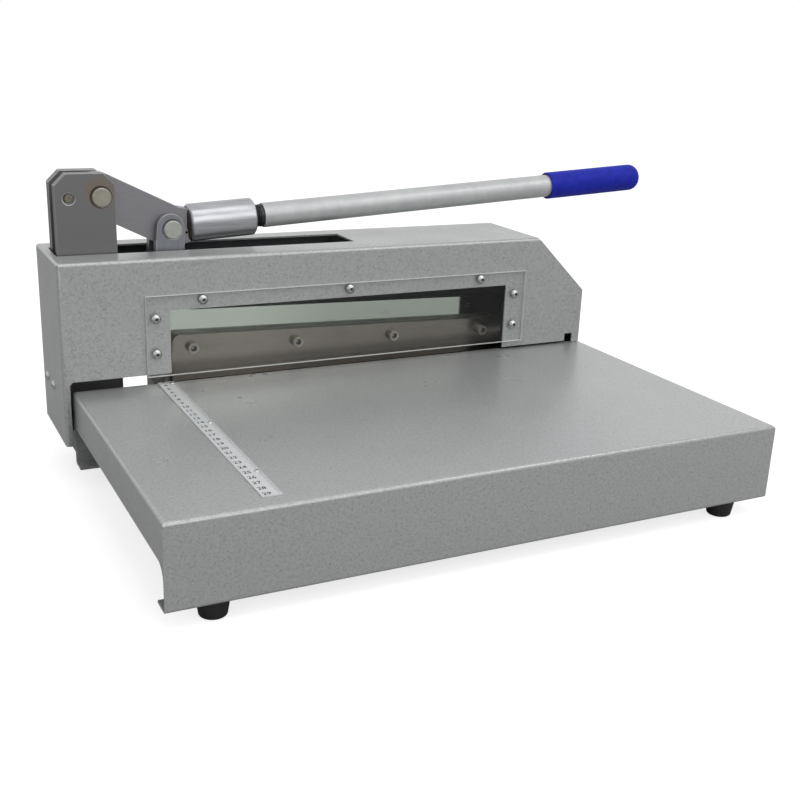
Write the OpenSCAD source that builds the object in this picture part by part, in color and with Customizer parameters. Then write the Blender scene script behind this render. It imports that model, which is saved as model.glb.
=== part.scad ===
// Hand-lever sheet shear: a folded sheet-steel bed, a housing over the blades, and a lever
// that swings the upper blade past the lower one through a pair of links.
// X runs along the blades to the handle's grip, Y runs back from the operator, Z is up.

/* [Bed] */
// Width of the bed along the blades
bed_w = 510; // [480:1:540]
// Depth of the bed from front panel to rear panel
bed_d = 282; // [260:1:300]
// Height of the bed's panels
bed_h = 64; // [60:1:72]
// Thickness of the bed's sheet
bed_t = 2; // [1.5:0.1:2.5]
// Outside radius of the bed's bends
bend_r = 3; // [2.8:0.1:5]
// Width of the flanges turned in under the panels
flange_w = 18; // [16:1:26]
// Depth of the side skirts below the top
skirt_h = 31; // [24:1:38]
// Radius where a skirt runs into the front panel
skirt_fillet = 12; // [4:1:16]

/* [Feet] */
// Height of the rubber feet
foot_h = 14; // [10:1:20]
// Diameter of a foot where it meets the bed
foot_top_d = 24; // [20:1:28]
// Diameter of a foot at the floor
foot_d = 20; // [16:1:24]
// Distance of the front feet from the bed's sides
foot_inset = 36; // [24:1:60]
// Diameter of the foot screws
foot_screw_d = 5; // [4:0.5:6]

/* [Rule] */
// Distance of the rule from the bed's left side
rule_x = 71; // [40:1:100]
// Width of the rule
rule_w = 14.5; // [10:0.5:20]
// Thickness of the rule
rule_t = 1; // [0.6:0.1:1.5]
// Distance of the rule's front end from the bed's front
rule_front = 15; // [10:1:40]
// Spacing of the rule's screws
rule_pitch = 108; // [80:1:115]

/* [Frame] */
// Thickness of the base beam and the lower blade
base_t = 26.5; // [22:0.5:32]
// Height of the lower blade
lower_blade_h = 24; // [18:1:30]
// Left end of the lower blade from the bed's left side
lower_blade_x = 69.5; // [60:0.5:80]
// Thickness of the cheek and bracket plates
cheek_t = 10; // [8:0.5:12]
// Gap between the two plates of a pair
plate_gap = 16; // [14:0.5:20]
// Width of the cheek plates
cheek_w = 49; // [46:0.5:56]
// Height of the cheek plates above the bed
cheek_rise = 175.8; // [172:0.2:186]
// Chamfer at the top corners of the cheek plates
cheek_chamfer = 9.5; // [4:0.5:12]
// Width of the bracket plates at the pivot end
bracket_w = 56; // [52:1:64]
// Height of the rear tie bar
tie_h = 30; // [24:1:36]
// Thickness of the rear tie bar
tie_t = 6; // [4:0.5:8]
// Diameter of the frame bolts
frame_bolt_d = 8; // [6:1:10]
// Distance of the spacer bolt from the cheek plates' left edge
spacer_in = 11.2; // [10:0.2:16]
// How far the frame's lower left corner is cut back, out of sight behind the bed
corner_back = 5; // [3:0.5:6]
// Height of that corner
corner_back_h = 20; // [16:1:24]

/* [Housing] */
// Thickness of the housing's sheet
house_t = 1.5; // [1:0.1:2]
// Outside radius of the housing's bends
house_r = 3; // [2.5:0.1:5]
// How far the housing stands out past the bed's left side
house_over = 8.4; // [7:0.2:12]
// How far the housing's right side lies inside the bed's right side
house_inset = 2; // [0:0.5:4]
// Overlap of the housing's front panel with the bed
house_lap = 7.7; // [6:0.1:12]
// Depth of the housing from front to back
house_d = 95.5; // [92:0.5:110]
// Height of the housing above the bed
house_rise = 109.4; // [104:0.2:116]
// How far the housing's sides reach below the bed's top
house_drop = 46; // [36:1:54]
// Width of the chamfer at the right shoulder
shoulder_w = 58.6; // [40:0.2:70]
// Height of the chamfer at the right shoulder
shoulder_h = 56.5; // [40:0.5:64]
// Gap between the bed and the front panel, left of the window
left_gap = 10; // [8:0.5:12]
// Gap between the bed and the front panel, right of the window
right_gap = 2.5; // [2:0.5:9.5]
// Height of the rear opening above the bed
rear_gap = 20; // [10:1:40]
// Length of the slot in the housing's top
slot_len = 268; // [200:1:280]
// Room around the cheek plates in the slot
slot_room = 2.5; // [1.5:0.1:4]

/* [Window and guard] */
// Left edge of the window from the bed's left side
window_x = 82.6; // [70:0.2:95]
// Width of the window
window_w = 332.3; // [300:0.1:336]
// Height of the window's top edge above the bed
window_rise = 65; // [58:0.5:72]
// How far the guard laps over the window's sides
guard_lap = 21; // [19:0.5:24]
// How far the guard laps over the window's top
guard_top_lap = 13.4; // [11:0.2:16]
// Thickness of the clear guard
guard_t = 3; // [2:0.5:5]
// Gap between the bed and the guard, where the sheet is fed in
feed_gap = 8.5; // [6:0.5:12]
// Diameter of the guard and housing screws
small_screw_d = 4.5; // [3.5:0.5:5]

/* [Blade beam] */
// Length of the upper blade
blade_len = 340.5; // [330:0.5:350]
// Distance of the upper blade's right end from the right frame plates
blade_end_gap = 12.5; // [8:0.5:20]
// Height of the blade beam
beam_h = 46; // [42:1:52]
// Distance of the beam's pivot above the bed
pivot_rise = 20; // [16:0.5:26]
// Slope of the beam with the lever down, in degrees
rest_tilt = 1.6; // [1.2:0.1:2.2]
// Height of the blade's top edge above the line of the pivot
blade_top = 2.6; // [0:0.2:6]
// Depth of the cutting edge below the bed with the lever down
edge_drop = 1.5; // [1:0.1:3]
// Radius of the upper blade's top corners
blade_corner_r = 7; // [2:0.5:8]
// Diameter of the blade screws
blade_screw_d = 6; // [5:0.5:8]
// Distance of the first blade screw from the blade's left end
blade_screw_first = 18; // [12:0.5:30]
// Distance of the last blade screw from the blade's right end
blade_screw_last = 24; // [12:0.5:30]

/* [Lever and links] */
// Height of the main pin above the bed
main_pin_rise = 156; // [152:0.5:162]
// Distance of the main pin from the cheek plates' right edge
main_pin_inset = 11; // [10:0.5:14]
// Distance between the main pin and the link pin
lever_arm = 66.7; // [60:0.1:74]
// Angle of that arm below the level with the lever down, in degrees
arm_drop = 26.5; // [22:0.5:30]
// Width of the lever plate
lever_w = 35; // [30:0.5:40]
// Distance between the pins of a link
link_len = 55; // [50:0.5:62]
// Thickness of a link
link_t = 8; // [6:0.5:9]
// Diameter of the main, link and beam pins
pin_d = 16; // [12:0.5:18]
// Diameter of the lower link pin
low_pin_d = 12; // [10:0.5:14]
// Wall of the bushes
bush_wall = 2; // [1.5:0.25:3]

/* [Handle] */
// Upward slope of the handle with the lever down, in degrees
handle_tilt = 3.5; // [2:0.1:6]
// Gap between the link pin and the socket
socket_gap = 9; // [8:0.5:14]
// Diameter of the socket
socket_d = 33; // [28:0.5:38]
// Length of the socket
socket_len = 60; // [48:0.5:70]
// Diameter of the collar between socket and tube
collar_d = 20; // [19:0.5:24]
// Length of that collar
collar_len = 9; // [6:0.5:14]
// Outside diameter of the handle tube
tube_d = 22; // [20:0.5:25]
// Wall of the handle tube
tube_wall = 2; // [1.5:0.1:3]
// Distance from the socket's left end to the grip
grip_start = 374; // [300:1:420]
// Length of the grip
grip_len = 112.5; // [100:0.5:130]
// Outside diameter of the grip
grip_d = 26.5; // [25.5:0.5:32]

/* [Fits] */
// Side clearance of the moving plates
side_clear = 0.3; // [0.2:0.05:0.5]
// Clearance between the two blades
blade_clear = 0.3; // [0.2:0.05:0.4]
// Radial clearance of the turning pins
run_clear = 0.05; // [0.02:0.01:0.1]
// Radial clearance of the fixed pins, bushes and screws
seat_clear = 0.02; // [0.01:0.01:0.05]

/* [Hidden] */
$fn = 48;
cut_extra = 1;

// Levels and the layers of the frame, front to back
bed_top = foot_h + bed_h;
cut_y = bed_d + base_t;
gap_y = cut_y + cheek_t;
gap_y1 = gap_y + plate_gap;
frame_y1 = gap_y1 + cheek_t;
lever_y = gap_y + plate_gap / 2;
lever_t = plate_gap - 2 * side_clear;
blade_t = cheek_t + side_clear - blade_clear;
base_h = bed_h - lower_blade_h;

// Housing
house_y = bed_d - house_lap;
house_x = -house_over;
house_x1 = bed_w - house_inset;
house_w = house_x1 - house_x;
house_top = bed_top + house_rise;
house_low = bed_top - house_drop;
leg_gap = 2.9;
notch_w = 9;
right_leg_w = 10;
slot_x = cheek_x() - slot_room + 1;
slot_w = frame_y1 - cut_y + 2 * slot_room;
window_x1 = window_x + window_w;
guard_x = window_x - guard_lap;
guard_w = window_w + 2 * guard_lap;
guard_h = window_rise + guard_top_lap - feed_gap;

// Bars between the frame plates and the housing's sides
bar_h = 18;
bar_len = frame_y1 - cut_y + 10;
right_bar_t = 4.5;
bar_z = bed_top - 4.4;
bar_screw_inset = 7;

// Plates of the frame
bracket_x1 = house_x1 - house_t - right_bar_t;
bracket_x = bracket_x1 - bracket_w;
plate_margin = 2;
bolt_inset = 12;
bolt_z = foot_h + tie_h / 2;
bolt_depth = 18;
spacer_rod_d = 6.6;
spacer_bore_d = 10;
spacer_tube_d = 12;
spacer_sink = 3;

// Blade beam, drawn level about its pivot and then tilted
pivot_x = bracket_x1 - bracket_w / 2 + 2;
pivot_z = bed_top + pivot_rise;
beam_y = gap_y + side_clear;
blade_x1 = bracket_x - blade_end_gap;
blade_x = blade_x1 - blade_len;
blade_y = beam_y - blade_t;
lower_blade_x1 = bracket_x - 6;
arm_low = -10;
arm_start = cheek_x() + 8.5;
edge_rake = 1;
bevel_h = 6;
blade_screw_low = 11.6;
blade_pitch = (blade_len - blade_screw_first - blade_screw_last) / 3;
stop_gap = 0.3;

// Lever and links
main_x = cheek_x() + cheek_w - main_pin_inset;
main_z = bed_top + main_pin_rise;
link_x = main_x + lever_arm * cos(arm_drop);
link_z = main_z - lever_arm * sin(arm_drop);
link_lean = 3;
low_x = link_x - link_lean;
low_z = link_z - link_len;
link_top_wall = 4;
link_low_wall = 8;
link_shift = 2;
lug_wall = 7;
link_top_r = pin_d / 2 + link_top_wall;
link_low_r = low_pin_d / 2 + link_low_wall;
lug_r = low_pin_d / 2 + lug_wall;
slot_room_x = 3.4;
slot_room_z = 0.8;
link_y = gap_y - link_t;
link_y1 = gap_y1;
pin_proud = 1;
ring_t = 1.2;
ring_wall = 2.5;
ring_sink = 0.6;
pin_tail = 3;
bush_d = pin_d + 2 * (run_clear + bush_wall);

// Handle, measured along its own axis from the socket's left end
socket_x = link_x + pin_d / 2 + socket_gap;
socket_z = link_z + 3;
tube_start = socket_len + collar_len;
stud_d = tube_d - 2 * tube_wall;
stud_in_socket = 30;
stud_in_tube = 24;
grip_end = grip_start + grip_len;
grip_cap = 8;
grip_dome_r = 10;
edge_chamfer = 1.5;
pin_chamfer = 0.75;

// The row's origin is under the middle of the whole object
button_head_h = 0.55 * small_screw_d;
x_min = house_x - button_head_h;
x_max = socket_x + (grip_end - grip_dome_r) * cos(handle_tilt)
    + (grip_d / 2 - grip_dome_r) * sin(handle_tilt) + grip_dome_r;
y_max = house_y + house_d;
origin_x = (x_min + x_max) / 2;
origin_y = y_max / 2;

// Left edge of the cheek plates
function cheek_x() = -0.5;

// A point of the object in the level frame of the beam, with the pivot at zero
function to_beam(p) = [
    (p[0] - pivot_x) * cos(rest_tilt) - (p[1] - pivot_z) * sin(rest_tilt),
    (p[0] - pivot_x) * sin(rest_tilt) + (p[1] - pivot_z) * cos(rest_tilt)
];

// A point of the beam's level frame back in the object
function from_beam(q) = [
    pivot_x + q[0] * cos(rest_tilt) + q[1] * sin(rest_tilt),
    pivot_z - q[0] * sin(rest_tilt) + q[1] * cos(rest_tilt)
];

low_pin = to_beam([low_x, low_z]);
blade_u = blade_x - pivot_x;
blade_u1 = blade_x1 - pivot_x;
edge_v = to_beam([blade_x, bed_top - edge_drop])[1];
edge_v1 = to_beam([blade_x1, bed_top - edge_drop - edge_rake])[1];
arm_u = arm_start - pivot_x;
stop_z = from_beam([cheek_x() + cheek_w - pivot_x, arm_low])[1] - stop_gap;

// Moves the bed's left front corner to its place about the origin
module place() {
    translate([-origin_x, -origin_y, 0]) children();
}

// Profile in X and Z, drawn out along Y
module along_y(y, t) {
    translate([0, y + t, 0]) rotate([90, 0, 0]) linear_extrude(t) children();
}

// Profile in Y and Z, drawn out along X
module along_x(x, l) {
    translate([x, 0, 0]) rotate([90, 0, 90]) linear_extrude(l) children();
}

// Rectangle with rounded corners
module round_rect(w, h, r) {
    translate([r, 0]) square([w - 2 * r, h]);
    translate([0, r]) square([w, h - 2 * r]);
    for (x = [r, w - r], y = [r, h - r]) translate([x, y]) circle(r);
}

// Rod along Y
module rod_y(x, y, z, d, l) {
    translate([x, y, z]) rotate([-90, 0, 0]) cylinder(d = d, h = l);
}

// Hole through a wall for a fixed screw or pin along Y
module hole_y(x, y, z, d, l) {
    rod_y(x, y - cut_extra, z, d + 2 * seat_clear, l + 2 * cut_extra);
}

// Pin along Y with chamfered ends and a groove for its retaining ring
module grooved_pin(x, z, d, y0, ring_y) {
    l = ring_y + pin_tail - y0;
    difference() {
        translate([x, y0, z]) rotate([-90, 0, 0]) rotate_extrude() polygon([
            [0, 0],
            [d / 2 - pin_chamfer, 0],
            [d / 2, pin_chamfer],
            [d / 2, l - pin_chamfer],
            [d / 2 - pin_chamfer, l],
            [0, l]
        ]);
        translate([x, ring_y - seat_clear, z]) rotate([-90, 0, 0]) difference() {
            cylinder(d = d + 2 * cut_extra, h = ring_t + 2 * seat_clear);
            cylinder(d = d - 2 * ring_sink, h = ring_t + 2 * seat_clear);
        }
    }
}

// Retaining ring in the groove of such a pin
module pin_ring(x, z, d, ring_y) {
    along_y(ring_y, ring_t) translate([x, z]) difference() {
        circle(d = d + 2 * ring_wall);
        circle(d = d - 2 * ring_sink + 2 * seat_clear);
    }
}

// Socket-head cap screw along +Z, with its head below zero
module cap_screw(d, l) {
    difference() {
        union() {
            translate([0, 0, -d]) cylinder(d = 1.65 * d, h = d);
            cylinder(d = d, h = l);
        }
        translate([0, 0, -d - cut_extra]) cylinder(d = 0.96 * d, h = 0.55 * d + cut_extra, $fn = 6);
    }
}

// Button-head screw along +Z, with its domed head below zero
module button_screw(d, l) {
    head_r = 0.95 * d;
    head_h = 0.55 * d;
    dome_r = (head_r * head_r + head_h * head_h) / (2 * head_h);
    difference() {
        union() {
            rotate_extrude() intersection() {
                translate([0, dome_r - head_h]) circle(dome_r);
                translate([0, -head_h]) square([head_r, head_h]);
            }
            cylinder(d = d, h = l);
        }
        translate([0, 0, -head_h - cut_extra]) cylinder(d = 0.7 * d, h = 0.3 * d + cut_extra, $fn = 6);
    }
}

// Turns a screw drawn along +Z to run back along +Y
module facing_front() {
    rotate([-90, 0, 0]) children();
}

// Turns a screw drawn along +Z to run forward along -Y
module facing_back() {
    rotate([90, 0, 0]) children();
}

// Two circles joined by their outer tangents
module tapered_bar(p1, r1, p2, r2) {
    d = norm(p2 - p1);
    aim = atan2(p2[1] - p1[1], p2[0] - p1[0]);
    spread = acos((r1 - r2) / d);
    translate(p1) circle(r1);
    translate(p2) circle(r2);
    polygon([
        p1 + r1 * [cos(aim + spread), sin(aim + spread)],
        p1 + r1 * [cos(aim - spread), sin(aim - spread)],
        p2 + r2 * [cos(aim - spread), sin(aim - spread)],
        p2 + r2 * [cos(aim + spread), sin(aim + spread)]
    ]);
}

// Bed: block of the folded sheet, outside or inside
module bed_block(inset) {
    r = bend_r - inset;
    intersection() {
        along_x(inset, bed_w - 2 * inset) translate([inset, inset])
            round_rect(bed_d - 2 * inset, bed_h - 2 * inset, r);
        along_y(inset, bed_d - 2 * inset) translate([inset, inset - bend_r])
            round_rect(bed_w - 2 * inset, bed_h - 2 * inset + bend_r, r);
    }
}

// Bed: open side below a skirt, in Y and Z
module skirt_opening() {
    open_h = bed_h - skirt_h;
    difference() {
        translate([bed_t, bed_t]) square([bed_d - 2 * bed_t, open_h - bed_t]);
        translate([bed_t, open_h - skirt_fillet]) difference() {
            translate([-cut_extra, 0]) square(skirt_fillet + cut_extra);
            translate([skirt_fillet, 0]) circle(skirt_fillet);
        }
    }
}

function foot_y() = flange_w - foot_screw_d / 2 - 1;
function rule_screw_ys() = [for (i = [0:2]) bed_d - bend_r - 5 - i * rule_pitch];
function bed_bolt_xs() = [for (i = [0:3]) bed_bolt_inset + i * (bed_w - 2 * bed_bolt_inset) / 3];
bed_bolt_d = 6;
bed_bolt_inset = 60;
bed_bolt_rise = 20;
bed_bolt_z = foot_h + bed_bolt_rise;
rule_screw_d = 2.5;
rule_screw_x = rule_x + rule_w - 3;

module bed() {
    color("darkgray") place() difference() {
        translate([0, 0, foot_h]) difference() {
            bed_block(0);
            bed_block(bed_t);
            translate([-cut_extra, flange_w, -cut_extra])
                cube([bed_w + 2 * cut_extra, bed_d - 2 * flange_w, bed_t + 2 * cut_extra]);
            for (x = [-cut_extra, bed_w - bed_t - cut_extra])
                along_x(x, bed_t + 2 * cut_extra) skirt_opening();
        }
        for (x = [foot_inset, bed_w - foot_inset])
            translate([x, foot_y(), foot_h - cut_extra])
                cylinder(d = foot_screw_d + 2 * seat_clear, h = bed_t + 2 * cut_extra);
        for (x = bed_bolt_xs())
            hole_y(x, bed_d - bed_t, bed_bolt_z, bed_bolt_d, bed_t);
        for (y = rule_screw_ys())
            translate([rule_screw_x, y, bed_top - bed_t - cut_extra])
                cylinder(d = rule_screw_d + 2 * seat_clear, h = bed_t + 2 * cut_extra);
    }
}

module scale_rule() {
    color("silver") place() difference() {
        translate([rule_x, rule_front, bed_top])
            cube([rule_w, bed_d - bend_r - rule_front, rule_t]);
        for (y = rule_screw_ys())
            translate([rule_screw_x, y, bed_top - cut_extra])
                cylinder(d = rule_screw_d + 2 * seat_clear, h = rule_t + 2 * cut_extra);
    }
}

module rule_screws() {
    color("gainsboro") place() for (y = rule_screw_ys())
        translate([rule_screw_x, y, bed_top + rule_t]) mirror([0, 0, 1])
            button_screw(rule_screw_d, rule_t + bed_t + 1);
}

// Feet
foot_fillet = 2;
foot_head_d = 1.8 * foot_screw_d;
foot_head_h = 0.6 * foot_screw_d;
foot_sink = 6;

module foot(x, y) {
    color("dimgray") place() translate([x, y, 0]) rotate_extrude() difference() {
        union() {
            polygon([
                [0, 0],
                [foot_d / 2 - foot_fillet, 0],
                [foot_d / 2, foot_fillet],
                [foot_top_d / 2, foot_h],
                [0, foot_h]
            ]);
            translate([foot_d / 2 - foot_fillet, foot_fillet]) circle(foot_fillet);
        }
        square([foot_screw_d / 2 + seat_clear, foot_h]);
        square([foot_head_d / 2 + 0.5, foot_sink]);
    }
}

function cheek_mid() = cheek_x() + cheek_w / 2;
function bracket_mid() = bracket_x + bracket_w / 2;

module front_left_foot() { foot(foot_inset, foot_y()); }
module front_right_foot() { foot(bed_w - foot_inset, foot_y()); }
module rear_left_foot() { foot(cheek_mid(), lever_y); }
module rear_right_foot() { foot(bracket_mid(), lever_y); }

foot_nut_h = 4;
rear_foot_thread = 12;

module foot_screws() {
    color("gainsboro") place() {
        for (x = [foot_inset, bed_w - foot_inset]) translate([x, foot_y(), foot_sink]) {
            translate([0, 0, -foot_head_h]) cylinder(d = foot_head_d, h = foot_head_h);
            cylinder(d = foot_screw_d, h = foot_h - foot_sink + bed_t + foot_nut_h + 1);
            translate([0, 0, foot_h - foot_sink + bed_t])
                cylinder(d = 1.9 * foot_screw_d, h = foot_nut_h, $fn = 6);
        }
        for (x = [cheek_mid(), bracket_mid()]) translate([x, lever_y, foot_sink]) {
            translate([0, 0, -foot_head_h]) cylinder(d = foot_head_d, h = foot_head_h);
            cylinder(d = foot_screw_d, h = foot_h - foot_sink + rear_foot_thread);
        }
    }
}

// Frame
low_screw_d = 6;
low_screw_inset = 25;
low_screw_sink = 8;
low_screw_thread = 12;
bed_bolt_thread = 14;

function low_screw_xs() = [
    for (i = [0:3]) lower_blade_x + low_screw_inset
        + i * (lower_blade_x1 - lower_blade_x - 2 * low_screw_inset) / 3
];
function frame_bolt_xs() = [
    cheek_x() + bolt_inset, cheek_x() + cheek_w - bolt_inset,
    bracket_x + bolt_inset, bracket_x1 - bolt_inset
];

// Holes of the frame bolts through everything they clamp
module frame_bolt_holes() {
    for (x = frame_bolt_xs())
        hole_y(x, cut_y - bolt_depth, bolt_z, frame_bolt_d, bolt_depth + frame_y1 - cut_y + tie_t);
}

module base_beam() {
    color("slategray") place() difference() {
        translate([cheek_x() + corner_back, bed_d, foot_h])
            cube([bracket_x1 - cheek_x() - corner_back, base_t, base_h]);
        frame_bolt_holes();
        for (x = bed_bolt_xs())
            hole_y(x, bed_d, bed_bolt_z, bed_bolt_d, bed_bolt_thread);
        for (x = low_screw_xs()) translate([x, bed_d + base_t / 2, foot_h - cut_extra]) {
            cylinder(d = low_screw_d + 2 * seat_clear, h = base_h + 2 * cut_extra);
            cylinder(d = 1.65 * low_screw_d + 1, h = low_screw_sink + cut_extra);
        }
    }
}

module bed_bolts() {
    color("dimgray") place() for (x = bed_bolt_xs())
        translate([x, bed_d - bed_t, bed_bolt_z]) facing_front()
            cap_screw(bed_bolt_d, bed_t + bed_bolt_thread);
}

module lower_blade() {
    color("gray") place() difference() {
        translate([lower_blade_x, bed_d, bed_top - lower_blade_h])
            cube([lower_blade_x1 - lower_blade_x, base_t, lower_blade_h]);
        for (x = low_screw_xs())
            translate([x, bed_d + base_t / 2, bed_top - lower_blade_h - cut_extra])
                cylinder(d = low_screw_d + 2 * seat_clear, h = low_screw_thread + 2 * cut_extra);
    }
}

module lower_blade_screws() {
    color("dimgray") place() for (x = low_screw_xs())
        translate([x, bed_d + base_t / 2, foot_h + low_screw_sink])
            cap_screw(low_screw_d, base_h - low_screw_sink + low_screw_thread);
}

// Outline of a frame plate with chamfered top corners
module plate_outline(x, w, z1, c) {
    polygon([
        [x, foot_h],
        [x + w, foot_h],
        [x + w, z1 - c],
        [x + w - c, z1],
        [x + c, z1],
        [x, z1 - c]
    ]);
}

spacer_x = cheek_x() + spacer_in;

module cheek(y) {
    color("slategray") place() difference() {
        along_y(y, cheek_t) plate_outline(cheek_x(), cheek_w, bed_top + cheek_rise, cheek_chamfer);
        hole_y(main_x, y, main_z, pin_d, cheek_t);
        hole_y(spacer_x, y, main_z, spacer_rod_d, cheek_t);
        rod_y(spacer_x, cut_y - cut_extra, main_z, spacer_bore_d, spacer_sink + cut_extra);
        frame_bolt_holes();
        frame_corner();
    }
}

// What is cut from the lower left corner of the cheek plates and their block
module frame_corner() {
    translate([cheek_x() - cut_extra, cut_y - cut_extra, foot_h - cut_extra])
        cube([corner_back + cut_extra, frame_y1 - cut_y + 2 * cut_extra, corner_back_h + cut_extra]);
}

module front_cheek() { cheek(cut_y); }
module rear_cheek() { cheek(gap_y1); }

// Spacer between the cheek plates, and the stop that the beam's arm comes down on
module cheek_block() {
    color("slategray") place() difference() {
        translate([cheek_x() + plate_margin, gap_y, foot_h])
            cube([cheek_w - 2 * plate_margin, plate_gap, stop_z - foot_h]);
        frame_bolt_holes();
        frame_corner();
        translate([cheek_mid(), lever_y, foot_h - cut_extra])
            cylinder(d = foot_screw_d + 2 * seat_clear, h = rear_foot_thread + 2 * cut_extra);
    }
}

module cheek_spacer() {
    color("gray") place() along_y(gap_y, plate_gap) translate([spacer_x, main_z]) difference() {
        circle(d = spacer_tube_d);
        circle(d = spacer_rod_d + 2 * seat_clear);
    }
}

spacer_nut_h = 5;

module spacer_bolt() {
    color("tan") place() {
        rod_y(spacer_x, cut_y + 0.5, main_z, spacer_rod_d, frame_y1 - cut_y + spacer_nut_h + 1);
        translate([spacer_x, frame_y1, main_z]) facing_front()
            cylinder(d = 1.9 * spacer_rod_d, h = spacer_nut_h, $fn = 6);
    }
}

bracket_top = pivot_z + beam_h / 2;
bracket_chamfer = 8;

module bracket(y) {
    color("slategray") place() difference() {
        along_y(y, cheek_t) plate_outline(bracket_x, bracket_w, bracket_top, bracket_chamfer);
        hole_y(pivot_x, y, pivot_z, pin_d, cheek_t);
        frame_bolt_holes();
    }
}

module front_bracket() { bracket(cut_y); }
module rear_bracket() { bracket(gap_y1); }

module bracket_block() {
    color("slategray") place() difference() {
        translate([bracket_x + plate_margin, gap_y, foot_h])
            cube([bracket_w - 2 * plate_margin, plate_gap, pivot_z - beam_h / 2 - plate_margin - foot_h]);
        frame_bolt_holes();
        translate([bracket_mid(), lever_y, foot_h - cut_extra])
            cylinder(d = foot_screw_d + 2 * seat_clear, h = rear_foot_thread + 2 * cut_extra);
    }
}

module tie_bar() {
    color("slategray") place() difference() {
        translate([cheek_x(), frame_y1, foot_h]) cube([bracket_x1 - cheek_x(), tie_t, tie_h]);
        frame_bolt_holes();
    }
}

module frame_bolts() {
    color("dimgray") place() for (x = frame_bolt_xs())
        translate([x, frame_y1 + tie_t, bolt_z]) facing_back()
            cap_screw(frame_bolt_d, tie_t + frame_y1 - cut_y + bolt_depth);
}

// Bars that the housing's side screws go into
function bar_screw_ys() = [cut_y + bar_screw_inset + 3.5, cut_y + bar_len - bar_screw_inset];

module mount_bar(x, t) {
    color("slategray") place() difference() {
        translate([x, cut_y, bar_z - bar_h / 2]) cube([t, bar_len, bar_h]);
        for (y = bar_screw_ys())
            translate([x - cut_extra, y, bar_z]) rotate([0, 90, 0])
                cylinder(d = small_screw_d + 2 * seat_clear, h = t + 2 * cut_extra);
    }
}

module left_mount_bar() { mount_bar(house_x + house_t, cheek_x() - house_x - house_t); }
module right_mount_bar() { mount_bar(bracket_x1, right_bar_t); }

// Housing: outline of its front, with the chamfered right shoulder
module house_front(inset, low) {
    w = house_w - 2 * inset;
    h = house_top - low - inset;
    cut = inset * (shoulder_w + shoulder_h - norm([shoulder_w, shoulder_h]));
    cw = shoulder_w - cut / shoulder_h;
    chh = shoulder_h - cut / shoulder_w;
    translate([house_x + inset, low]) difference() {
        translate([0, -house_r]) round_rect(w, h + house_r, house_r - inset);
        polygon([[w - cw, h], [w + cut_extra, h - chh - cut_extra * chh / cw], [w + cut_extra, h + cut_extra],
            [w - cw - cut_extra * cw / chh, h + cut_extra]]);
        translate([-cut_extra, -2 * house_r]) square([w + 2 * cut_extra, 2 * house_r]);
    }
}

// Housing: its section from front to back
module house_side(inset, low) {
    translate([house_y + inset, low]) difference() {
        translate([0, -house_r])
            round_rect(house_d - 2 * inset, house_top - low - inset + house_r, house_r - inset);
        translate([-cut_extra, -2 * house_r]) square([house_d + 2 * cut_extra, 2 * house_r]);
    }
}

// Housing: solid block of its outside or inside
module house_block(inset, low) {
    intersection() {
        along_y(house_y + inset, house_d - 2 * inset) house_front(inset, low);
        along_x(house_x + inset, house_w - 2 * inset) house_side(inset, low);
        translate([house_x + inset, house_y + inset, low])
            linear_extrude(house_top - low)
                round_rect(house_w - 2 * inset, house_d - 2 * inset, house_r - inset);
    }
}

// Housing: what is cut out of its front panel round the bed and the window
module front_openings() {
    low = house_low - cut_extra;
    gap_x = -leg_gap;
    gap_chamfer = 2.5;
    left_z = bed_top + left_gap;
    right_z = bed_top + right_gap;
    notch_x = house_x1 - right_leg_w - notch_w;
    polygon([
        [gap_x, low],
        [gap_x, left_z - gap_chamfer],
        [gap_x + gap_chamfer, left_z],
        [window_x, left_z],
        [window_x, bed_top + window_rise],
        [window_x1, bed_top + window_rise],
        [window_x1, right_z],
        [notch_x, right_z],
        [notch_x, left_z],
        [notch_x + notch_w, left_z],
        [notch_x + notch_w, bed_top + seat_room],
        [house_x1 + cut_extra, bed_top + seat_room],
        [house_x1 + cut_extra, low]
    ]);
}
seat_room = 0.5;

// Places of the guard's screws in X and Z
guard_side_inset = 8.2;
guard_right_inset = 12;
guard_top_inset = 5.2;
guard_top_spread = 137;
guard_z1 = bed_top + feed_gap + guard_h;
guard_low_screw = 28.4;
guard_high_screw = 59;
guard_mid_shift = 1;
guard_right_drop = 2.6;
guard_mid = guard_x + guard_w / 2 - guard_mid_shift;

function guard_screw_points() = concat(
    [for (i = [-1:1]) [guard_mid + i * guard_top_spread, guard_z1 - guard_top_inset]],
    [for (z = [guard_low_screw, guard_high_screw]) [guard_x + guard_side_inset, bed_top + z]],
    [
        for (z = [guard_low_screw, guard_high_screw])
            [guard_x + guard_w - guard_right_inset, bed_top + z - guard_right_drop]
    ]
);

module housing() {
    color("darkgray") place() difference() {
        house_block(0, house_low);
        house_block(house_t, house_low - cut_extra);
        along_y(house_y - cut_extra, bed_d + seat_room - house_y + cut_extra) front_openings();
        translate([house_x + house_t, house_y + house_d - house_r - cut_extra, house_low - cut_extra])
            cube([
                house_w - 2 * house_t,
                house_r + 2 * cut_extra,
                bed_top + rear_gap - house_low + cut_extra
            ]);
        translate([slot_x, cut_y - slot_room, house_top - house_t - cut_extra])
            cube([slot_len, slot_w, house_t + 2 * cut_extra]);
        for (p = guard_screw_points())
            hole_y(p[0], house_y, p[1], small_screw_d, house_t);
        for (y = bar_screw_ys())
            translate([house_x - cut_extra, y, bar_z]) rotate([0, 90, 0])
                cylinder(d = small_screw_d + 2 * seat_clear, h = house_w + 2 * cut_extra);
    }
}

module housing_screws() {
    color("gainsboro") place() for (y = bar_screw_ys()) {
        translate([house_x, y, bar_z]) rotate([0, 90, 0])
            button_screw(small_screw_d, cheek_x() - house_x);
        translate([house_x1, y, bar_z]) rotate([0, -90, 0])
            button_screw(small_screw_d, house_t + right_bar_t);
    }
}

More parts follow.
